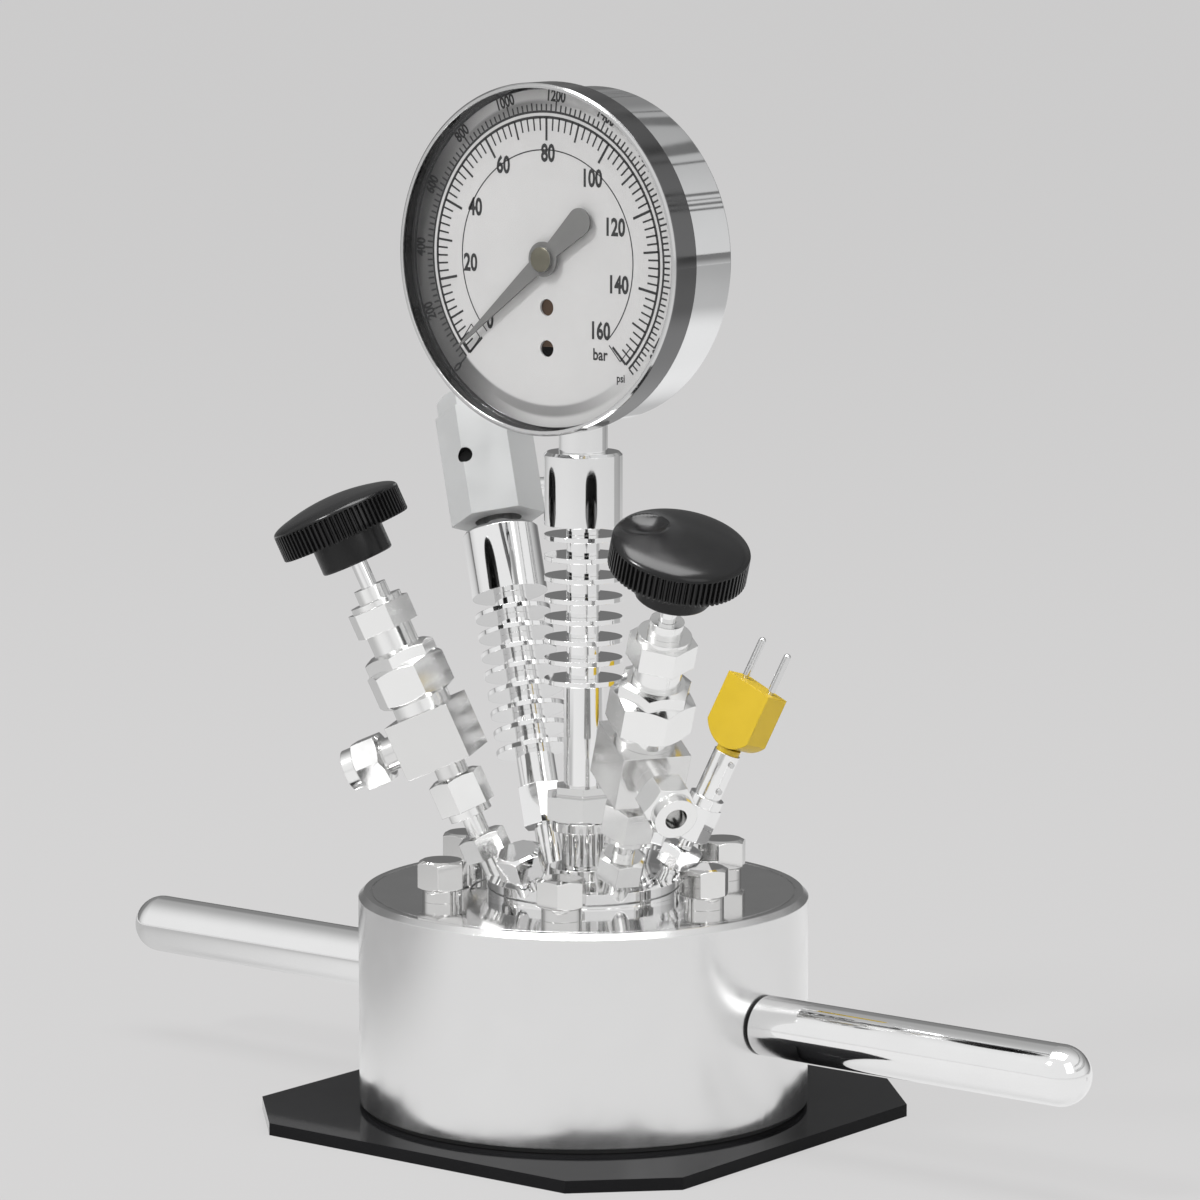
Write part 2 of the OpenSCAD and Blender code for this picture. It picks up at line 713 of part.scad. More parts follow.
module v_bonnet() difference() {
  union() {
    translate([0, 0, s_collar]) cylinder(d = vcollar_d, h = vcollar_h + sink);
    translate([0, 0, s_bonnet]) hex_cut(bonnet_af, bonnet_h, true, true);
    translate([0, 0, s_step - sink]) rotate([0, 0, 30]) hex_cut(step_af, step_h + sink, true, false);
    translate([0, 0, s_stem - sink]) cylinder(d = stem_d, h = stem_h + sink);
  }
  bore(spindle_d + 2 * run_gap, s_collar, s_gland);
}
module v_gland() difference() {
  union() {
    translate([0, 0, s_gland]) hex_cut(gland_af, gland_h, false, false);
    translate([0, 0, s_gtop]) cylinder(d = gtop_d, h = gtop_h);
    translate([0, 0, s_gpipe]) cylinder(d = gpipe_d, h = gpipe_h);
  }
  bore(spindle_d + 2 * run_gap, s_gland, s_gend);
}
module v_spindle() {
  translate([0, 0, s_needle + needle_h]) cylinder(d = spindle_d, h = s_rim - s_needle - needle_h);
  translate([0, 0, s_needle]) cylinder(d1 = needle_tip_d, d2 = spindle_d, h = needle_h);
}
module v_knob(dimple_turn) difference() {
  union() {
    translate([0, 0, s_hub]) cylinder(d = knob_hub_d, h = knob_hub_h);
    translate([0, 0, s_rim]) cylinder(d = knob_d, h = knob_rim_h);
    intersection() {
      translate([0, 0, s_dome + knob_dome_h - dome_r]) sphere(r = dome_r);
      translate([0, 0, s_dome - 1]) cylinder(d = knob_d, h = knob_dome_h + 2);
    }
  }
  bore(spindle_d, s_hub, s_rim);
  rotate([0, 0, dimple_turn]) translate([dimple_at, 0, s_dome + knob_dome_h / 2 + dimple_r - dimple_dp])
    sphere(r = dimple_r);
}
module v_side_nut() translate([0, 0, s_seat]) rotate([0, 90, 0]) difference() {
  union() {
    translate([0, 0, side_x1]) rotate([0, 0, 30]) hex_cut(side_af, side_nut_h, true, true);
    translate([0, 0, side_x2 - sink]) cylinder(d = side_ring_d, h = side_ring_h + sink);
  }
  bore(side_neck_d, side_x1, side_x0 + side_neck + 4);
  bore(side_bore, side_x0 + side_neck + 4, side_x2 + side_ring_h);
}
module left_frame() { at_port(left_k) rotate([0, 0, left_turn]) children(); }
module left_adapter() color(steel) left_frame() v_adapter();
module left_lower_nut() color(steel) left_frame() v_lower_nut();
module left_body() color(steel) left_frame() v_body();
module left_bonnet() color(steel) left_frame() v_bonnet();
module left_gland() color(steel) left_frame() v_gland();
module left_spindle() color(steel) left_frame() v_spindle();
module left_knob() color(black) left_frame() v_knob(left_dimple);
module left_side_nut() color(steel) left_frame() v_side_nut();
module right_adapter() color(steel) at_port(right_k) v_adapter();
module right_lower_nut() color(steel) at_port(right_k) v_lower_nut();
module right_body() color(steel) at_port(right_k) v_body();
module right_bonnet() color(steel) at_port(right_k) v_bonnet();
module right_gland() color(steel) at_port(right_k) v_gland();
module right_spindle() color(steel) at_port(right_k) v_spindle();
module right_knob() color(black) at_port(right_k) v_knob(right_dimple);
module right_side_nut() color(steel) at_port(right_k) v_side_nut();

// ---- thermocouple
module probe_adapter() color(steel) at_port(tc_k) difference() {
  union() {
    translate([0, 0, -tail_len]) cylinder(d = tail_d, h = tail_len);
    cylinder(d = tc_ring_d, h = 1);
    cylinder(d = tc_thread_d, h = t_z1);
    translate([0, 0, t_z1]) rotate([0, 0, 30]) hex_cut(tc_af, tc_hex_h, true, false);
    translate([0, 0, t_z2 - sink]) cylinder(d = tc_link_d, h = tc_link_h + sink);
  }
  bore(probe_d, -tail_len, t_z3);
}
module probe_nut() color(steel) at_port(tc_k) difference() {
  union() {
    translate([0, 0, t_z3]) hex_cut(tc_nut_af, tc_nut_h, false, true);
    translate([0, 0, t_z4]) cylinder(d = tc_collar_d, h = tc_collar_h);
  }
  bore(probe_d, t_z3, t_z5);
}
module probe_clamp() color(steel) at_port(tc_k) difference() {
  translate([0, 0, t_z5]) cylinder(d = clamp_d, h = clamp_h);
  bore(clamp_hole_d, t_z5, t_z6);
  rotate([0, 0, screw2_turn]) for (z = [screw2_a, screw2_b]) translate([0, 0, t_z5 + z]) rotate([0, 90, 0])
    translate([0, 0, clamp_hole_d / 2 - 0.6]) cylinder(d = screw2_d, h = clamp_d / 2);
}
module probe_screws() color(dark_steel) at_port(tc_k) rotate([0, 0, screw2_turn])
  for (z = [screw2_a, screw2_b]) translate([0, 0, t_z5 + z]) rotate([0, 90, 0])
    translate([0, 0, clamp_hole_d / 2]) cylinder(d = screw2_d, h = (clamp_d - clamp_hole_d) / 2 + screw2_out);
module probe_sheath() color(steel) at_port(tc_k) {
  translate([0, 0, -probe_tip]) cylinder(d = probe_d, h = probe_tip + t_z6);
}
module connector_ring() color([0.45, 0.38, 0.10]) at_port(tc_k) difference() {
  translate([0, 0, t_z6]) cylinder(d = cring_d, h = cring_h);
}
module connector() color([0.85, 0.72, 0.12]) at_port(tc_k) rotate([0, 0, conn_turn]) difference() {
  intersection() {
    translate([-conn_w / 2, -conn_t / 2, t_z7]) cube([conn_w, conn_t, conn_h]);
    translate([0, conn_t, t_z7 + conn_w * 0.62]) rotate([90, 0, 0]) union() {
      cylinder(r = conn_w * 0.62, h = 2 * conn_t);
      translate([-conn_w, 0, 0]) cube([2 * conn_w, 2 * conn_h, 2 * conn_t]);
    }
  }
  for (x = [-pin_gap / 2, pin_gap / 2]) translate([x, 0, t_z8 - pin_in])
    cylinder(d = pin_root_d, h = pin_in + 1);
}
module connector_pins() color(steel) at_port(tc_k) rotate([0, 0, conn_turn])
  for (x = [-pin_gap / 2, pin_gap / 2]) translate([x, 0, t_z8]) {
    translate([0, 0, -pin_in]) cylinder(d = pin_root_d, h = pin_in + pin_neck);
    translate([0, 0, pin_neck]) cylinder(d = pin_d, h = pin_len - pin_d / 2 - pin_neck);
    translate([0, 0, pin_len - pin_d / 2]) sphere(d = pin_d);
  }

// ---- blanking plugs
module v_plug() {
  translate([0, 0, -tail_len]) cylinder(d = tail_d, h = tail_len + plug_z);
  translate([0, 0, plug_z - 1.5]) cylinder(d = plug_af * 0.8, h = 1.5);
  translate([0, 0, plug_z]) rotate([0, 0, 30]) hex_cut(plug_af, plug_h, true, false);
}
module front_plug() color(steel) at_port(front_k) v_plug();
module rear_plug() color(steel) at_port(rear_k) v_plug();

base_plate();
base_screws();
glide_ring();
vessel_body();
liner();
seal_ring();
head();
thrust_ring();
closure_nut();
handle_left();
handle_right();
thrust_bolts();
dip_tube();
union_base();
union_nut();
gauge_riser();
gauge_socket();
bourdon_tube();
gauge_movement();
gauge_case();
gauge_dial();
gauge_pointer();
gauge_window();
gauge_bezel();
relief_adapter();
relief_riser();
relief_body();
relief_disc();
relief_cap();
relief_outlet();
left_adapter();
left_lower_nut();
left_body();
left_bonnet();
left_gland();
left_spindle();
left_knob();
left_side_nut();
right_adapter();
right_lower_nut();
right_body();
right_bonnet();
right_gland();
right_spindle();
right_knob();
right_side_nut();
probe_adapter();
probe_nut();
probe_clamp();
probe_screws();
probe_sheath();
connector_ring();
connector();
connector_pins();
front_plug();
rear_plug();
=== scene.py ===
"""Hydrothermal reactor: looks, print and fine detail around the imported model. Metres, +Z up, the dial faces -Y."""
import math

import bmesh
import bpy
from mathutils import Matrix, Vector


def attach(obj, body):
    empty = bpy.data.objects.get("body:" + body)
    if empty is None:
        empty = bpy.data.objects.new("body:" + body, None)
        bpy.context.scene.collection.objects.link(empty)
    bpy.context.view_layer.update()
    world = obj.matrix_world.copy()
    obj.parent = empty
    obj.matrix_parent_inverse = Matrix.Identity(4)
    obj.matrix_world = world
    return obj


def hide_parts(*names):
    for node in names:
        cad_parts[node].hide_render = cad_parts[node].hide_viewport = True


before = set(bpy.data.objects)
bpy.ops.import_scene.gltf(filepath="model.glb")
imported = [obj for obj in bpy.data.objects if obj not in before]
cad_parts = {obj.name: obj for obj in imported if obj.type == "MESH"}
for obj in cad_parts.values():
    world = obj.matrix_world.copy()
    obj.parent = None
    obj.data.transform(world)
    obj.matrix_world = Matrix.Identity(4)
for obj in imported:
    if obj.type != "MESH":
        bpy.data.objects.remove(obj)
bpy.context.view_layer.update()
MM = 0.001
rad = math.radians

# ---------------------------------------------------------------- sizes, in millimetres
GAUGE_Z = 239.855                              # height of the gauge's centre
DIAL_Y = -16.0                                 # front face of the dial
CAP_Y = -18.8                                  # front face of the pointer's hub
PORT_R, PORT_Z, PORT_TILT = 25.0, 69.3, 24.1   # the six leaning ports on the head
RELIEF_PORT, LEFT_PORT, RIGHT_PORT = 2, 3, 5
LEFT_TURN = -6.4                               # turn of the left valve about its port
KNOB_Z = 100.8                                 # underside of a knob's rim, along its port
NUT_R = 62.5                                   # outside radius of the closure nut
VENT_TURN, VENT_SIDE, VENT_Z = 156, -6.1, 115.805   # vent hole in the relief body, along its port


def port_frame(k, turn=0.0):
    """The frame of port k on the head: local z runs up along the tilted port."""
    return (Matrix.Rotation(rad(30 + 60 * k), 4, "Z") @ Matrix.Translation((PORT_R, 0, PORT_Z))
            @ Matrix.Rotation(rad(PORT_TILT), 4, "Y") @ Matrix.Rotation(rad(turn), 4, "Z"))


# ---------------------------------------------------------------- materials
def material(name, color, rough=0.4, metal=0.0, **sockets):
    """A plain Principled material, with its node tree to build on."""
    m = bpy.data.materials.new(name)
    m.use_nodes = True
    m.diffuse_color = (*color, 1)
    nodes, links = m.node_tree.nodes, m.node_tree.links
    b = nodes["Principled BSDF"]
    b.inputs["Metallic"].default_value = metal
    b.inputs["Roughness"].default_value = rough
    b.inputs["Base Color"].default_value = (*color, 1)
    for key, value in sockets.items():
        b.inputs[key.replace("_", " ")].default_value = value
    return m, nodes, links, b


def noise(nodes, links, scale, detail=3.0):
    """Noise in object coordinates."""
    at = nodes.new("ShaderNodeTexCoord")
    n = nodes.new("ShaderNodeTexNoise")
    n.inputs["Scale"].default_value = scale
    n.inputs["Detail"].default_value = detail
    links.new(at.outputs["Object"], n.inputs["Vector"])
    return n.outputs["Fac"]


def ramp(nodes, links, value, low, high, to_low, to_high):
    """A straight map from one range to another."""
    r = nodes.new("ShaderNodeMapRange")
    r.inputs["From Min"].default_value, r.inputs["From Max"].default_value = low, high
    r.inputs["To Min"].default_value, r.inputs["To Max"].default_value = to_low, to_high
    links.new(value, r.inputs["Value"])
    return r.outputs["Result"]


def tint(nodes, links, value, dark, light):
    """A colour between two, by a 0 to 1 value."""
    r = nodes.new("ShaderNodeMix")
    r.data_type = "RGBA"
    r.inputs["A"].default_value = (*dark, 1)
    r.inputs["B"].default_value = (*light, 1)
    links.new(value, r.inputs["Factor"])
    return r.outputs["Result"]


def math_node(nodes, links, how, a, b):
    m = nodes.new("ShaderNodeMath")
    m.operation = how
    for socket, value in zip(m.inputs, (a, b)):
        if isinstance(value, (int, float)):
            socket.default_value = value
        else:
            links.new(value, socket)
    return m.outputs[0]


def smooth(nodes, links, value, a, b, low=0.0, high=1.0):
    """A soft step from low to high as the value goes from a to b."""
    r = nodes.new("ShaderNodeMapRange")
    r.interpolation_type = "SMOOTHSTEP"
    for key, v in (("From Min", a), ("From Max", b), ("To Min", low), ("To Max", high)):
        r.inputs[key].default_value = v
    links.new(value, r.inputs["Value"])
    return r.outputs["Result"]


def times(nodes, links, *values):
    """The product of several sockets or numbers."""
    product = values[0]
    for value in values[1:]:
        product = math_node(nodes, links, "MULTIPLY", product, value)
    return product


def toward(nodes, links, vector, azimuth):
    """How far a direction points to an azimuth, from -1 to 1."""
    d = nodes.new("ShaderNodeVectorMath")
    d.operation = "DOT_PRODUCT"
    d.inputs[1].default_value = (math.cos(rad(azimuth)), math.sin(rad(azimuth)), 0)
    links.new(vector, d.inputs[0])
    return d.outputs["Value"]


def steel(name, color, rough, edge=0.25, metal=1.0, level=None):
    """Polished stainless steel with faint marks and softened edges; level faces may be smoother than the rest."""
    m, nodes, links, b = material(name, color, rough, metal)
    n = noise(nodes, links, 90, 4)
    grain = ramp(nodes, links, n, 0.3, 0.7, rough * 0.7, rough * 1.35)
    if level:
        facing = nodes.new("ShaderNodeNewGeometry")
        up = nodes.new("ShaderNodeSeparateXYZ")
        links.new(facing.outputs["Normal"], up.inputs["Vector"])
        grain = times(nodes, links, grain, smooth(nodes, links, up.outputs["Z"], 0.8, 0.95, 1.0, level))
    links.new(grain, b.inputs["Roughness"])
    dark = tuple(c * 0.95 for c in color)
    links.new(tint(nodes, links, n, dark, color), b.inputs["Base Color"])
    bevel = nodes.new("ShaderNodeBevel")
    bevel.samples = 4
    bevel.inputs["Radius"].default_value = edge * MM
    links.new(bevel.outputs["Normal"], b.inputs["Normal"])
    return m


def moulding(name, color, rough, grain, edge=0.3, **sockets):
    """Moulded plastic: fine grain in its bump and a slow change of tone."""
    m, nodes, links, b = material(name, color, rough, 0.0, **sockets)
    n = noise(nodes, links, grain, 4)
    light = tuple(min(1, c * 1.18 + 0.002) for c in color)
    links.new(tint(nodes, links, n, color, light), b.inputs["Base Color"])
    links.new(ramp(nodes, links, n, 0.3, 0.7, rough * 0.85, rough * 1.15), b.inputs["Roughness"])
    bevel = nodes.new("ShaderNodeBevel")
    bevel.samples = 4
    bevel.inputs["Radius"].default_value = edge * MM
    bp = nodes.new("ShaderNodeBump")
    bp.inputs["Strength"].default_value = 0.12
    bp.inputs["Distance"].default_value = 0.05 * MM
    links.new(n, bp.inputs["Height"])
    links.new(bevel.outputs["Normal"], bp.inputs["Normal"])
    links.new(bp.outputs["Normal"], b.inputs["Normal"])
    return m


STEEL = steel("polished_steel", (0.86, 0.86, 0.86), 0.05)
VALVE_STEEL = steel("valve_steel", (0.86, 0.86, 0.855), 0.15)
BLOCK_STEEL = steel("block_steel", (0.74, 0.738, 0.733), 0.17)
UNION_STEEL = steel("union_steel", (0.68, 0.68, 0.676), 0.06)
BOLT_STEEL = steel("bolt_steel", (0.76, 0.757, 0.75), 0.06)
SATIN = {"color": (0.43, 0.435, 0.435), "rough": 0.42, "metal": 0.3}
SATIN_STEEL = steel("satin_steel", **SATIN)
# tone of the shade painted into the handles' gap at the drum and into the vent hole
PAINTED_SHADE_TONE = (0.02, 0.02, 0.02)
NUT_STEEL = steel("nut_steel", (0.74, 0.738, 0.738), 0.19, edge=0.4, level=0.4)
CASE_STEEL = steel("case_steel", (0.84, 0.845, 0.85), 0.04, edge=0.4)
SCREW_STEEL = steel("screw_steel", (0.3, 0.3, 0.31), 0.25)
PROBE_SCREW_STEEL = steel("probe_screw_steel", (0.62, 0.62, 0.62), 0.15)
BRONZE = steel("bronze", (0.10, 0.065, 0.045), 0.4)
PLATE = moulding("black_plate", (0.007, 0.007, 0.0075), 0.06, 40, edge=0.2, Specular_IOR_Level=0.03)
GLIDE = moulding("black_glide", (0.02, 0.02, 0.02), 0.4, 60)
KNOB = moulding("black_knob", (0.004, 0.004, 0.0042), 0.2, 150, edge=0.1, Specular_IOR_Level=0.3)
PTFE = moulding("white_ptfe", (0.85, 0.85, 0.84), 0.45, 60)
INK = moulding("dial_ink", (0.012, 0.012, 0.013), 0.5, 80, edge=0.05)
POINTER = moulding("pointer_grey", (0.118, 0.118, 0.115), 0.4, 60, edge=0.1)
CAP = steel("pointer_cap", (0.20, 0.19, 0.15), 0.2, edge=0.05)
PIN_STEEL = steel("pin_steel", (0.66, 0.66, 0.66), 0.08)
YELLOW = moulding("yellow_moulding", (0.46, 0.315, 0.004), 0.38, 150)


def tone_over(m, share, tone):
    """Mixes a second tone over a material's colour, by a 0 to 1 share."""
    nodes, links = m.node_tree.nodes, m.node_tree.links
    b = nodes["Principled BSDF"]
    old = b.inputs["Base Color"].links[0].from_socket
    mix = nodes.new("ShaderNodeMix")
    mix.data_type = "RGBA"
    links.new(share, mix.inputs["Factor"])
    links.new(old, mix.inputs["A"])
    mix.inputs["B"].default_value = (*tone, 1)
    links.new(mix.outputs["Result"], b.inputs["Base Color"])


def object_xyz(m):
    nodes, links = m.node_tree.nodes, m.node_tree.links
    at = nodes.new("ShaderNodeTexCoord")
    xyz = nodes.new("ShaderNodeSeparateXYZ")
    links.new(at.outputs["Object"], xyz.inputs["Vector"])
    return [xyz.outputs[k] for k in "XYZ"]


def dial_material():
    """White dial with painted shade on its recessed edge: grey all round the top and dark on the left, where the
    bezel shades it.
    """
    m = moulding("dial_white", (0.43, 0.427, 0.424), 0.45, 30, edge=0.1)
    nodes, links = m.node_tree.nodes, m.node_tree.links

    def calc(how, a, b):
        return math_node(nodes, links, how, a, b)

    darkest_shade_at = rad(190)
    x, _, z = object_xyz(m)
    up = calc("SUBTRACT", z, GAUGE_Z * MM)
    r = calc("SQRT", calc("ADD", calc("MULTIPLY", x, x), calc("MULTIPLY", up, up)), 0)
    across = calc("ADD", calc("MULTIPLY", x, math.cos(darkest_shade_at)), calc("MULTIPLY", up, math.sin(darkest_shade_at)))
    turn = calc("DIVIDE", across, calc("MAXIMUM", r, 0.001))
    # Painted shade: the bezel's shadow on the dial's outer edge, dark on the left and grey round the top.
    edge = smooth(nodes, links, r, 39.4 * MM, 40.4 * MM)
    inner = smooth(nodes, links, r, 42.3 * MM, 43.6 * MM, 1.0, 0.0)
    left = times(nodes, links, edge, smooth(nodes, links, turn, 0.15, 0.85, 0.0, 0.88))
    top = times(nodes, links, edge, inner, smooth(nodes, links, turn, -0.7, 0.1, 0.0, 0.62))
    tone_over(m, calc("MAXIMUM", left, top), (0.03, 0.03, 0.03))
    return m


def bezel_material():
    """Dark bezel wall with a bright turned lip at its front."""
    m = steel("bezel_steel", (0.17, 0.17, 0.172), 0.10, edge=0.3)
    y = object_xyz(m)[1]
    share = smooth(m.node_tree.nodes, m.node_tree.links, y, -20.95 * MM, -20.7 * MM, 1.0, 0.0)
    tone_over(m, share, (0.62, 0.62, 0.62))
    return m


def handle_material():
    """Polished handle, with shade painted dark into the gap where its end meets the drum."""
    m = steel("handle_steel", (0.86, 0.86, 0.86), 0.05)
    nodes, links = m.node_tree.nodes, m.node_tree.links
    x, y, _ = object_xyz(m)
    squares = math_node(nodes, links, "ADD", times(nodes, links, x, x), times(nodes, links, y, y))
    r = math_node(nodes, links, "SQRT", squares, 0)
    # Painted shade: a dark ring on the handle where it meets the drum.
    tone_over(m, smooth(nodes, links, r, (NUT_R + 0.7) * MM, (NUT_R + 1.0) * MM, 1.0, 0.0), PAINTED_SHADE_TONE)
    return m


def window_material():
    """Clear window that mirrors the studio faintly on its outside."""
    m, nodes, links, b = material("window", (0.95, 0.97, 0.98), 0.02, 0.0, IOR=1.49)
    n = noise(nodes, links, 12, 2)
    links.new(ramp(nodes, links, n, 0.2, 0.8, 0.015, 0.03), b.inputs["Roughness"])
    clear = nodes.new("ShaderNodeBsdfTransparent")
    clear.inputs["Color"].default_value = (0.975, 0.975, 0.975, 1)
    mix = nodes.new("ShaderNodeMixShader")
    fres = nodes.new("ShaderNodeFresnel")
    fres.inputs["IOR"].default_value = 1.3
    gloss = nodes.new("ShaderNodeBsdfGlossy")
    gloss.inputs["Roughness"].default_value = 0.02
    inside = nodes.new("ShaderNodeNewGeometry")
    front = math_node(nodes, links, "SUBTRACT", 1.0, inside.outputs["Backfacing"])
    links.new(times(nodes, links, fres.outputs["Fac"], front), mix.inputs["Fac"])
    links.new(clear.outputs["BSDF"], mix.inputs[1])
    links.new(gloss.outputs["BSDF"], mix.inputs[2])
    links.new(mix.outputs["Shader"], nodes["Material Output"].inputs["Surface"])
    return m


def vented_material():
    """Satin relief body, with shade painted dark inside its vent hole."""
    m = steel("vented_steel", **SATIN)
    nodes, links = m.node_tree.nodes, m.node_tree.links
    hole = port_frame(RELIEF_PORT, VENT_TURN) @ Matrix.Translation((0, VENT_SIDE, VENT_Z))
    axis = hole.to_3x3() @ Vector((1, 0, 0))

    def vector(how, a, b):
        v = nodes.new("ShaderNodeVectorMath")
        v.operation = how
        links.new(a, v.inputs[0])
        if b:
            v.inputs[1].default_value = b
        return v

    at = nodes.new("ShaderNodeTexCoord")
    from_hole = vector("SUBTRACT", at.outputs["Object"], hole.translation * MM).outputs["Vector"]
    off = vector("LENGTH", vector("CROSS_PRODUCT", from_hole, axis).outputs["Vector"], None).outputs["Value"]
    along = vector("DOT_PRODUCT", from_hole, axis).outputs["Value"]
    # Painted shade: darkens the bore of the vent hole, from 6 mm out along its axis.
    near = smooth(nodes, links, off, 2.12 * MM, 2.2 * MM, 1.0, 0.0)
    tone_over(m, times(nodes, links, near, smooth(nodes, links, along, 6 * MM, 7 * MM)), PAINTED_SHADE_TONE)
    return m


HANDLE_STEEL = handle_material()
LOOKS = {
    "closure_nut": NUT_STEEL, "gauge_bezel": bezel_material(), "gauge_case": CASE_STEEL,
    "base_screws": SCREW_STEEL, "probe_screws": PROBE_SCREW_STEEL, "bourdon_tube": BRONZE,
    "handle_left": HANDLE_STEEL, "handle_right": HANDLE_STEEL, "union_nut": UNION_STEEL,
    "union_base": UNION_STEEL, "thrust_bolts": BOLT_STEEL, "connector_pins": PIN_STEEL,
    "gauge_movement": BRONZE, "base_plate": PLATE, "glide_ring": GLIDE, "left_knob": KNOB,
    "right_knob": KNOB, "relief_body": vented_material(), "relief_cap": SATIN_STEEL, "liner": PTFE,
    "seal_ring": PTFE, "gauge_dial": dial_material(), "gauge_pointer": POINTER, "connector": YELLOW,
    "connector_ring": YELLOW, "gauge_window": window_material(),
}
VALVE_PARTS = ("adapter", "lower_nut", "body", "bonnet", "gland", "side_nut")
for side in ("left_", "right_"):
    LOOKS.update({side + part: VALVE_STEEL for part in VALVE_PARTS})
    LOOKS[side + "body"] = BLOCK_STEEL
for name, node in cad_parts.items():
    node.data.materials.clear()
    node.data.materials.append(LOOKS.get(name, STEEL))


# ---------------------------------------------------------------- helpers for the added pieces
def piece(name, verts, faces, look, body, smooth=True, place=Matrix()):
    """A mesh object from millimetre coordinates, placed in the shared frame and carried by a body."""
    mesh = bpy.data.meshes.new(name)
    mesh.from_pydata([tuple(c * MM for c in place @ Vector(v)) for v in verts], [], faces)
    mesh.materials.append(look)
    bm = bmesh.new()
    bm.from_mesh(mesh)
    bmesh.ops.recalc_face_normals(bm, faces=bm.faces)
    bm.to_mesh(mesh)
    bm.free()
    for f in mesh.polygons:
        f.use_smooth = smooth
    if smooth:
        mesh.set_sharp_from_angle(angle=rad(35))
    obj = bpy.data.objects.new(name, mesh)
    bpy.context.scene.collection.objects.link(obj)
    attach(obj, body)
    return obj


def bezier(p0, p1, p2, n):
    return [tuple((1 - t) ** 2 * a + 2 * t * (1 - t) * b + t * t * c for a, b, c in zip(p0, p1, p2))
            for t in (i / n for i in range(1, n + 1))]


# ---------------------------------------------------------------- knobs
RIBS = 76
# one rib and its groove: (share of the pitch, share of the groove's depth)
RIB_STEPS = ((0.0, 0.0), (0.17, 0.0), (0.34, 0.0), (0.42, 0.75), (0.58, 1.0), (0.76, 1.0), (0.92, 0.75))
KNOB_R, CROWN_R, CROWN_TOP = 18.6, 54.07, 11.9
DIMPLE_AT, DIMPLE_BALL, DIMPLE_DEEP = 12.8, 11.0, 2.3


def crown_z(r):
    """Height of the domed crown at a radius."""
    return CROWN_TOP - CROWN_R + math.sqrt(CROWN_R ** 2 - r * r)


def knob_rows():
    """Rows of (radius, height, groove depth) from the bore, over hub, rim and shoulder, to the crown."""
    rows = [(2.32, -0.4, 0), (2.32, -7.6, 0), (2.6, -7.8, 0), (9.6, -7.8, 0)]
    rows += [(r, z, 0) for r, z in bezier((9.6, -7.8), (10.35, -7.8), (10.35, -7.0), 4)]
    rows += [(10.35, -0.3, 0), (10.65, 0.0, 0), (16.9, 0.0, 0), (17.9, 0.0, 0.5), (18.35, 0.12, 0.95),
             (KNOB_R, 0.5, 0.95)]
    rows += [(KNOB_R, z, 0.95) for z in (2.0, 4.0, 6.0, 6.7)]
    rows += [(KNOB_R, 7.05, 0.75), (KNOB_R, 7.3, 0.35), (KNOB_R, 7.5, 0.0)]
    rows += [(r, z, 0) for r, z in bezier((KNOB_R, 7.5), (KNOB_R, 9.1), (12.8, crown_z(12.8)), 14)]
    r = 12.4
    while r > 3.2:
        rows.append((r, crown_z(r), 0))
        r -= 0.42
    return rows + [(2.0, crown_z(2.0), 0), (0.9, crown_z(0.9), 0)]


def knob(name, body, place, dimple_turn):
    """Black moulded knob: fine ribs round the rim, a soft shoulder and a finger dimple in the crown."""
    angles = [(rad(360 * (i + t) / RIBS), g) for i in range(RIBS) for t, g in RIB_STEPS]
    cx, cy = DIMPLE_AT * math.cos(rad(dimple_turn)), DIMPLE_AT * math.sin(rad(dimple_turn))
    cz = crown_z(DIMPLE_AT) - DIMPLE_DEEP + DIMPLE_BALL
    verts, faces = [], []
    rows = knob_rows()
    for r, z, depth in rows:
        for a, g in angles:
            q = r - depth * g
            x, y, h = q * math.cos(a), q * math.sin(a), z
            d2 = (x - cx) ** 2 + (y - cy) ** 2
            if z > 7.4 and d2 < DIMPLE_BALL ** 2:
                h = min(z, cz - math.sqrt(DIMPLE_BALL ** 2 - d2))
            verts.append((x, y, h))
    n = len(angles)
    for j in range(len(rows) - 1):
        for i in range(n):
            k = (i + 1) % n
            faces.append((j * n + i, j * n + k, (j + 1) * n + k, (j + 1) * n + i))
    for j, z in ((0, -0.4), (len(rows) - 1, CROWN_TOP)):
        verts.append((0, 0, z))
        faces += [(j * n + i, j * n + (i + 1) % n, len(verts) - 1) for i in range(n)]
    obj = piece(name + "_ribbed", verts, faces, KNOB, body, True, place @ Matrix.Translation((0, 0, KNOB_Z)))
    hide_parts(name)


knob("left_knob", "left_valve_knob", port_frame(LEFT_PORT, LEFT_TURN), 270)
knob("right_knob", "right_valve_knob", port_frame(RIGHT_PORT), 228)


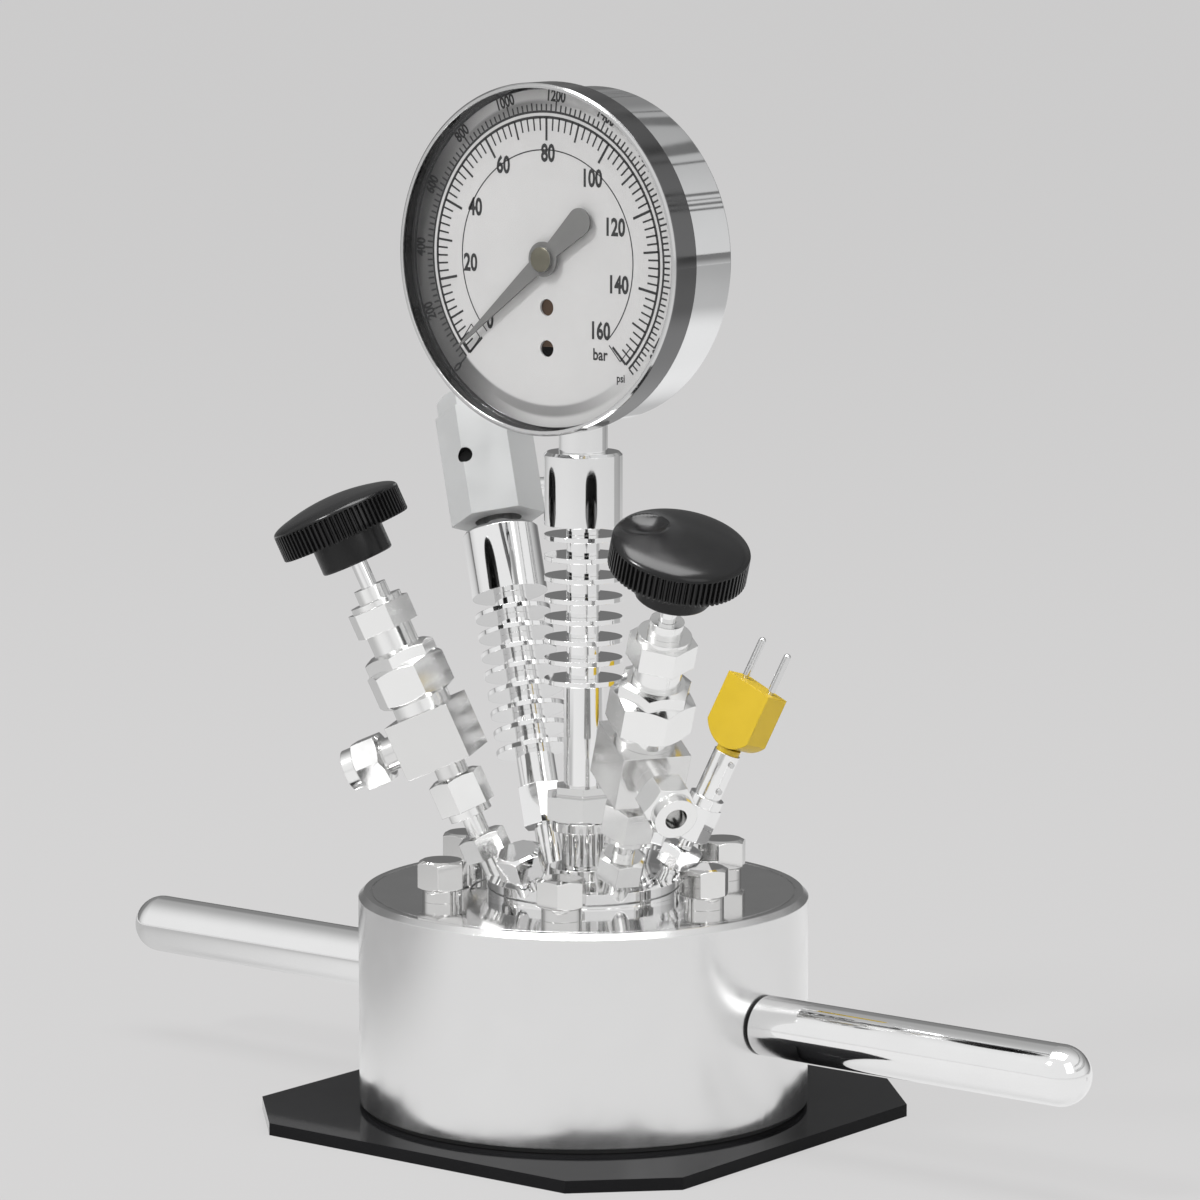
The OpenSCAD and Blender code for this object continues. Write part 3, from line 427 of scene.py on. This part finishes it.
# ---------------------------------------------------------------- dial print
class Print:
    """Flat ink shapes in dial coordinates: x to the right, y up, from the dial's centre."""

    def __init__(self, lift):
        self.verts, self.faces, self.lift = [], [], lift

    def poly(self, pts):
        n = len(self.verts)
        self.verts += [(x, DIAL_Y - self.lift, GAUGE_Z + y) for x, y in pts]
        self.faces.append(tuple(range(n, n + len(pts))))

    def line(self, x0, y0, x1, y1, w):
        d = math.hypot(x1 - x0, y1 - y0)
        nx, ny = -(y1 - y0) / d * w / 2, (x1 - x0) / d * w / 2
        self.poly([(x0 + nx, y0 + ny), (x1 + nx, y1 + ny), (x1 - nx, y1 - ny), (x0 - nx, y0 - ny)])

    def tick(self, angle, r0, r1, w):
        """A radial line."""
        c, s = math.cos(rad(angle)), math.sin(rad(angle))
        self.line(r0 * c, r0 * s, r1 * c, r1 * s, w)

    def arc(self, r, w, a0, a1, steps=180):
        for i in range(steps):
            p, q = (rad(a0 + (a1 - a0) * k / steps) for k in (i, i + 1))
            self.poly([((r - w / 2) * math.cos(p), (r - w / 2) * math.sin(p)),
                       ((r + w / 2) * math.cos(p), (r + w / 2) * math.sin(p)),
                       ((r + w / 2) * math.cos(q), (r + w / 2) * math.sin(q)),
                       ((r - w / 2) * math.cos(q), (r - w / 2) * math.sin(q))])

    def text(self, body, x, y, high, squeeze=0.8, turn=0.0, bold=0.0):
        """Text of a given height centred on a point, narrowed, turned and thickened."""
        curve = bpy.data.curves.new("text", "FONT")
        curve.body, curve.offset, curve.resolution_u = body, bold, 3
        obj = bpy.data.objects.new("text", curve)
        bpy.context.scene.collection.objects.link(obj)
        bpy.context.view_layer.update()
        mesh = bpy.data.meshes.new_from_object(obj.evaluated_get(bpy.context.evaluated_depsgraph_get()))
        xs, ys = [v.co.x for v in mesh.vertices], [v.co.y for v in mesh.vertices]
        k = high / (max(ys) - min(ys))
        mx, my = (max(xs) + min(xs)) / 2, (max(ys) + min(ys)) / 2
        c, s, n = math.cos(rad(turn)), math.sin(rad(turn)), len(self.verts)
        for v in mesh.vertices:
            u, w = (v.co.x - mx) * k * squeeze, (v.co.y - my) * k
            self.verts.append((x + u * c - w * s, DIAL_Y - self.lift, GAUGE_Z + y + u * s + w * c))
        self.faces += [tuple(n + i for i in f.vertices) for f in mesh.polygons]
        bpy.data.objects.remove(obj)
        bpy.data.curves.remove(curve)
        bpy.data.meshes.remove(mesh)


DIAL_START, DIAL_SWEEP = 225, 270   # the zero mark's angle and the scale's sweep
PSI_STEP = 23.27                    # degrees for 200 psi
# (figure, x, y) of the bar scale
BAR_SPOTS = ((0, -19.8, -17.6), (20, -26.6, -2.2), (40, -24.9, 13.1), (60, -15, 25), (80, 0.5, 28.7),
             (100, 15.9, 22.5), (120, 23.7, 9.7), (140, 24.9, -5.7), (160, 18.7, -18.4))


def dial_print():
    """The bar and psi scales, their figures and units, and the brackets at both ends."""
    ink = Print(0.03)
    ink.arc(29.5, 0.34, -45, 225)
    ink.arc(38.3, 0.75, -45, 225)
    ink.arc(39.8, 0.65, -45, 225)
    for i in range(81):
        a = DIAL_START - DIAL_SWEEP * i / 80
        r0, w = (32.0, 0.74) if i % 10 == 0 else (33.2, 0.62) if i % 5 == 0 else (34.7, 0.5)
        ink.tick(a, r0, 38.3, w)
    for i in range(117):
        a = DIAL_START - PSI_STEP * i / 10
        ink.tick(a, 40, 42.9 if i % 10 == 0 else 42.2 if i % 5 == 0 else 41.9, 0.5)
    for value, x, y in BAR_SPOTS:
        ink.text(str(value), x, y, 5.1, 0.72, 0, 0.034)
    for i in range(12):
        a = DIAL_START - PSI_STEP * i
        ink.text(str(200 * i), 44.3 * math.cos(rad(a)), 44.3 * math.sin(rad(a)), 3.4, 0.76, a - 90, 0.035)
    ink.text("bar", 18.5, -24.9, 3.3, 0.85, 0, 0.025)
    ink.text("psi", 25.4, -31.3, 2.8, 0.85, 0, 0.025)
    for pts in (((-29.6, -23.4), (-26.4, -19.2), (-23.4, -22.6), (-26.6, -27), (-29.6, -23.4)),
                ((21.4, -22.2), (25.2, -26.4), (28.8, -22.4))):
        for (x0, y0), (x1, y1) in zip(pts, pts[1:]):
            ink.line(x0, y0, x1, y1, 0.32)
    piece("dial_print", ink.verts, ink.faces, INK, "vessel", False)


def lathe_y(name, rows, look, body, steps=96):
    """A ring or dome turned round the gauge's axis from rows of (radius, y)."""
    verts = [(r * math.cos(rad(360 * i / steps)), y, GAUGE_Z + r * math.sin(rad(360 * i / steps)))
             for r, y in rows for i in range(steps)]
    faces = [(j * steps + i, j * steps + (i + 1) % steps, (j + 1) * steps + (i + 1) % steps, (j + 1) * steps + i)
             for j in range(len(rows) - 1) for i in range(steps)]
    return piece(name, verts, faces, look, body)


dial_print()
CAP_ROWS = ((3.4, 0.0), (3.3, 0.12), (2.9, 0.22), (2.0, 0.32), (1.0, 0.37), (0.05, 0.38))
lathe_y("pointer_cap", [(r, CAP_Y - rise) for r, rise in CAP_ROWS], CAP, "pointer", 48)


# ---------------------------------------------------------------- stage: floor, world, lamps, camera
BACKDROP = (0.617, 0.612, 0.612)
CAMERA_GLOW, GLOSSY_GLOW = 0.92, 0.8   # how much of the floor is its own glow; the rest is lit and takes shadow
CARD_AT, CARD_TONE = 128, 0.18         # azimuth and tone of the dark card behind the object
HIGH_AT = 145                          # azimuth of the card's higher wing
FRONT_TONE, BACK_TONE = 0.93, 0.44     # the studio in front of and behind the object
NEAR_TONE, FAR_TONE = 0.86, 0.76       # the floor near the object and far from it
# LEFT_AT marks painted shade on the floor beside the object; ASIDE_AT marks a darker patch.
LEFT_AT, ASIDE_AT = 167, 68            # azimuths of the two darker areas of the floor
SLATS_AT = 65                          # azimuth of the thin slats
# heights of the slats, as the sine of their elevation
SLATS = ((0.300, 0.312), (0.330, 0.345), (0.362, 0.370), (0.388, 0.404), (0.545, 0.552), (0.575, 0.598))


def build_floor():
    """Pale floor: its own colour to the camera, bright near the object and dark far behind it in the steel, with
    shade painted into its glow beside the object.
    """
    bm = bmesh.new()
    bmesh.ops.create_circle(bm, cap_ends=True, radius=40, segments=96)
    mesh = bpy.data.meshes.new("floor")
    bm.to_mesh(mesh)
    bm.free()
    floor = bpy.data.objects.new("floor", mesh)
    bpy.context.scene.collection.objects.link(floor)
    m, nodes, links, b = material("floor_paint", BACKDROP, 0.9)
    n = noise(nodes, links, 3, 2)
    links.new(tint(nodes, links, n, tuple(c * 0.99 for c in BACKDROP), BACKDROP), b.inputs["Base Color"])
    b.inputs["Specular IOR Level"].default_value = 0.0
    at = nodes.new("ShaderNodeTexCoord")
    reach = nodes.new("ShaderNodeVectorMath")
    reach.operation = "LENGTH"
    links.new(at.outputs["Object"], reach.inputs[0])
    far = smooth(nodes, links, reach.outputs["Value"], 0.25, 1.4, NEAR_TONE, FAR_TONE)
    behind = smooth(nodes, links, toward(nodes, links, at.outputs["Object"], CARD_AT), 0.5, 2.0, 1.0, 0.2)
    # Painted shade: the floor's glow seen in the steel is darker close to the object towards LEFT_AT, fading out
    # between 0.4 and 0.8 m.
    left = smooth(nodes, links, toward(nodes, links, at.outputs["Object"], LEFT_AT), 0.05, 0.25, 1.0, 0.45)
    left = math_node(nodes, links, "MAXIMUM", left, smooth(nodes, links, reach.outputs["Value"], 0.4, 0.8))
    aside = toward(nodes, links, at.outputs["Object"], ASIDE_AT)
    ahead = math_node(nodes, links, "DIVIDE", aside, math_node(nodes, links, "MAXIMUM", reach.outputs["Value"], 0.01))
    patch = times(nodes, links, smooth(nodes, links, ahead, 0.92, 0.97), smooth(nodes, links, aside, 0.4, 0.6),
                  smooth(nodes, links, aside, 2.0, 3.0, 0.5, 0.0))
    seen = times(nodes, links, far, behind, left, math_node(nodes, links, "SUBTRACT", 1.0, patch))
    path = nodes.new("ShaderNodeLightPath")
    glossy = nodes.new("ShaderNodeEmission")
    links.new(seen, glossy.inputs["Color"])
    plain = nodes.new("ShaderNodeEmission")
    plain.inputs["Color"].default_value = (*BACKDROP, 1)
    surface = b.outputs["BSDF"]
    for ray, glow, share in (("Is Camera Ray", plain, CAMERA_GLOW), ("Is Glossy Ray", glossy, GLOSSY_GLOW)):
        mix = nodes.new("ShaderNodeMixShader")
        links.new(times(nodes, links, path.outputs[ray], share), mix.inputs["Fac"])
        links.new(surface, mix.inputs[1])
        links.new(glow.outputs["Emission"], mix.inputs[2])
        surface = mix.outputs["Shader"]
    links.new(surface, nodes["Material Output"].inputs["Surface"])
    mesh.materials.append(m)


def build_world():
    """Pale studio, dimmer behind the object, with a dark card and thin slats that the steel mirrors."""
    w = bpy.data.worlds.new("studio")
    bpy.context.scene.world = w
    w.use_nodes = True
    nodes, links = w.node_tree.nodes, w.node_tree.links
    bg = nodes["Background"]
    at = nodes.new("ShaderNodeTexCoord")
    xyz = nodes.new("ShaderNodeSeparateXYZ")
    links.new(at.outputs["Generated"], xyz.inputs["Vector"])
    back = toward(nodes, links, at.outputs["Generated"], CARD_AT)
    sky = smooth(nodes, links, back, -0.1, 0.7, FRONT_TONE, BACK_TONE)
    card = times(nodes, links, smooth(nodes, links, back, 0.45, 0.85),
                 smooth(nodes, links, xyz.outputs["Z"], 0.2, 0.34, 1.0, 0.0))
    wing = toward(nodes, links, at.outputs["Generated"], HIGH_AT)
    high = times(nodes, links, smooth(nodes, links, wing, 0.62, 0.76),
                 smooth(nodes, links, xyz.outputs["Z"], 0.5, 0.66, 0.7, 0.0))
    card = math_node(nodes, links, "MAXIMUM", card, high)
    slats = nodes.new("ShaderNodeValToRGB")
    slats.color_ramp.elements[1].color = (0, 0, 0, 1)
    for low, high in SLATS:
        for pos, level in ((low - 0.001, 0), (low, 1), (high, 1), (high + 0.001, 0)):
            e = slats.color_ramp.elements.new(pos)
            e.color = (level, level, level, 1)
    links.new(xyz.outputs["Z"], slats.inputs["Fac"])
    side = smooth(nodes, links, toward(nodes, links, at.outputs["Generated"], SLATS_AT), 0.35, 0.5)
    line = times(nodes, links, side, slats.outputs["Color"])
    tone = nodes.new("ShaderNodeMix")
    tone.data_type = "RGBA"
    links.new(math_node(nodes, links, "MAXIMUM", card, line), tone.inputs["Factor"])
    links.new(sky, tone.inputs["A"])
    tone.inputs["B"].default_value = (*[CARD_TONE] * 3, 1)
    path = nodes.new("ShaderNodeLightPath")
    mix = nodes.new("ShaderNodeMix")
    mix.data_type = "RGBA"
    links.new(path.outputs["Is Camera Ray"], mix.inputs["Factor"])
    links.new(tone.outputs["Result"], mix.inputs["A"])
    mix.inputs["B"].default_value = (*BACKDROP, 1)
    links.new(mix.outputs["Result"], bg.inputs["Color"])
    bg.inputs["Strength"].default_value = 1.0


def area_lamp(name, place, size, power):
    """A rectangular lamp that looks at the middle of the object."""
    data = bpy.data.lights.new(name, "AREA")
    data.shape = "RECTANGLE"
    data.size, data.size_y = size
    data.energy = power
    lamp = bpy.data.objects.new(name, data)
    bpy.context.scene.collection.objects.link(lamp)
    lamp.location = place
    lamp.rotation_euler = (Vector((0, 0, 0.12)) - Vector(place)).to_track_quat("-Z", "Y").to_euler()


def build_camera():
    """The photograph's camera, as fitted to it."""
    cam = bpy.data.objects.new("camera", bpy.data.cameras.new("camera"))
    bpy.context.scene.collection.objects.link(cam)
    cam.data.lens, cam.data.sensor_width = 162.58, 36.0
    cam.data.clip_start, cam.data.clip_end = 0.05, 100
    cam.location = (0.912606, -1.162665, 0.360454)
    cam.rotation_euler = (rad(81.694), 0, rad(37.951))
    bpy.context.scene.camera = cam


build_floor()
build_world()
for lamp in (("key", (-0.7, -1.6, 1.9), (0.4, 0.4), 38), ("overhead", (0.02, -0.12, 1.7), (1.3, 0.8), 28),
             ("fill", (1.8, -0.6, 1.3), (1.0, 1.4), 5)):
    area_lamp(*lamp)
build_camera()
bpy.context.scene.view_settings.view_transform = "Standard"
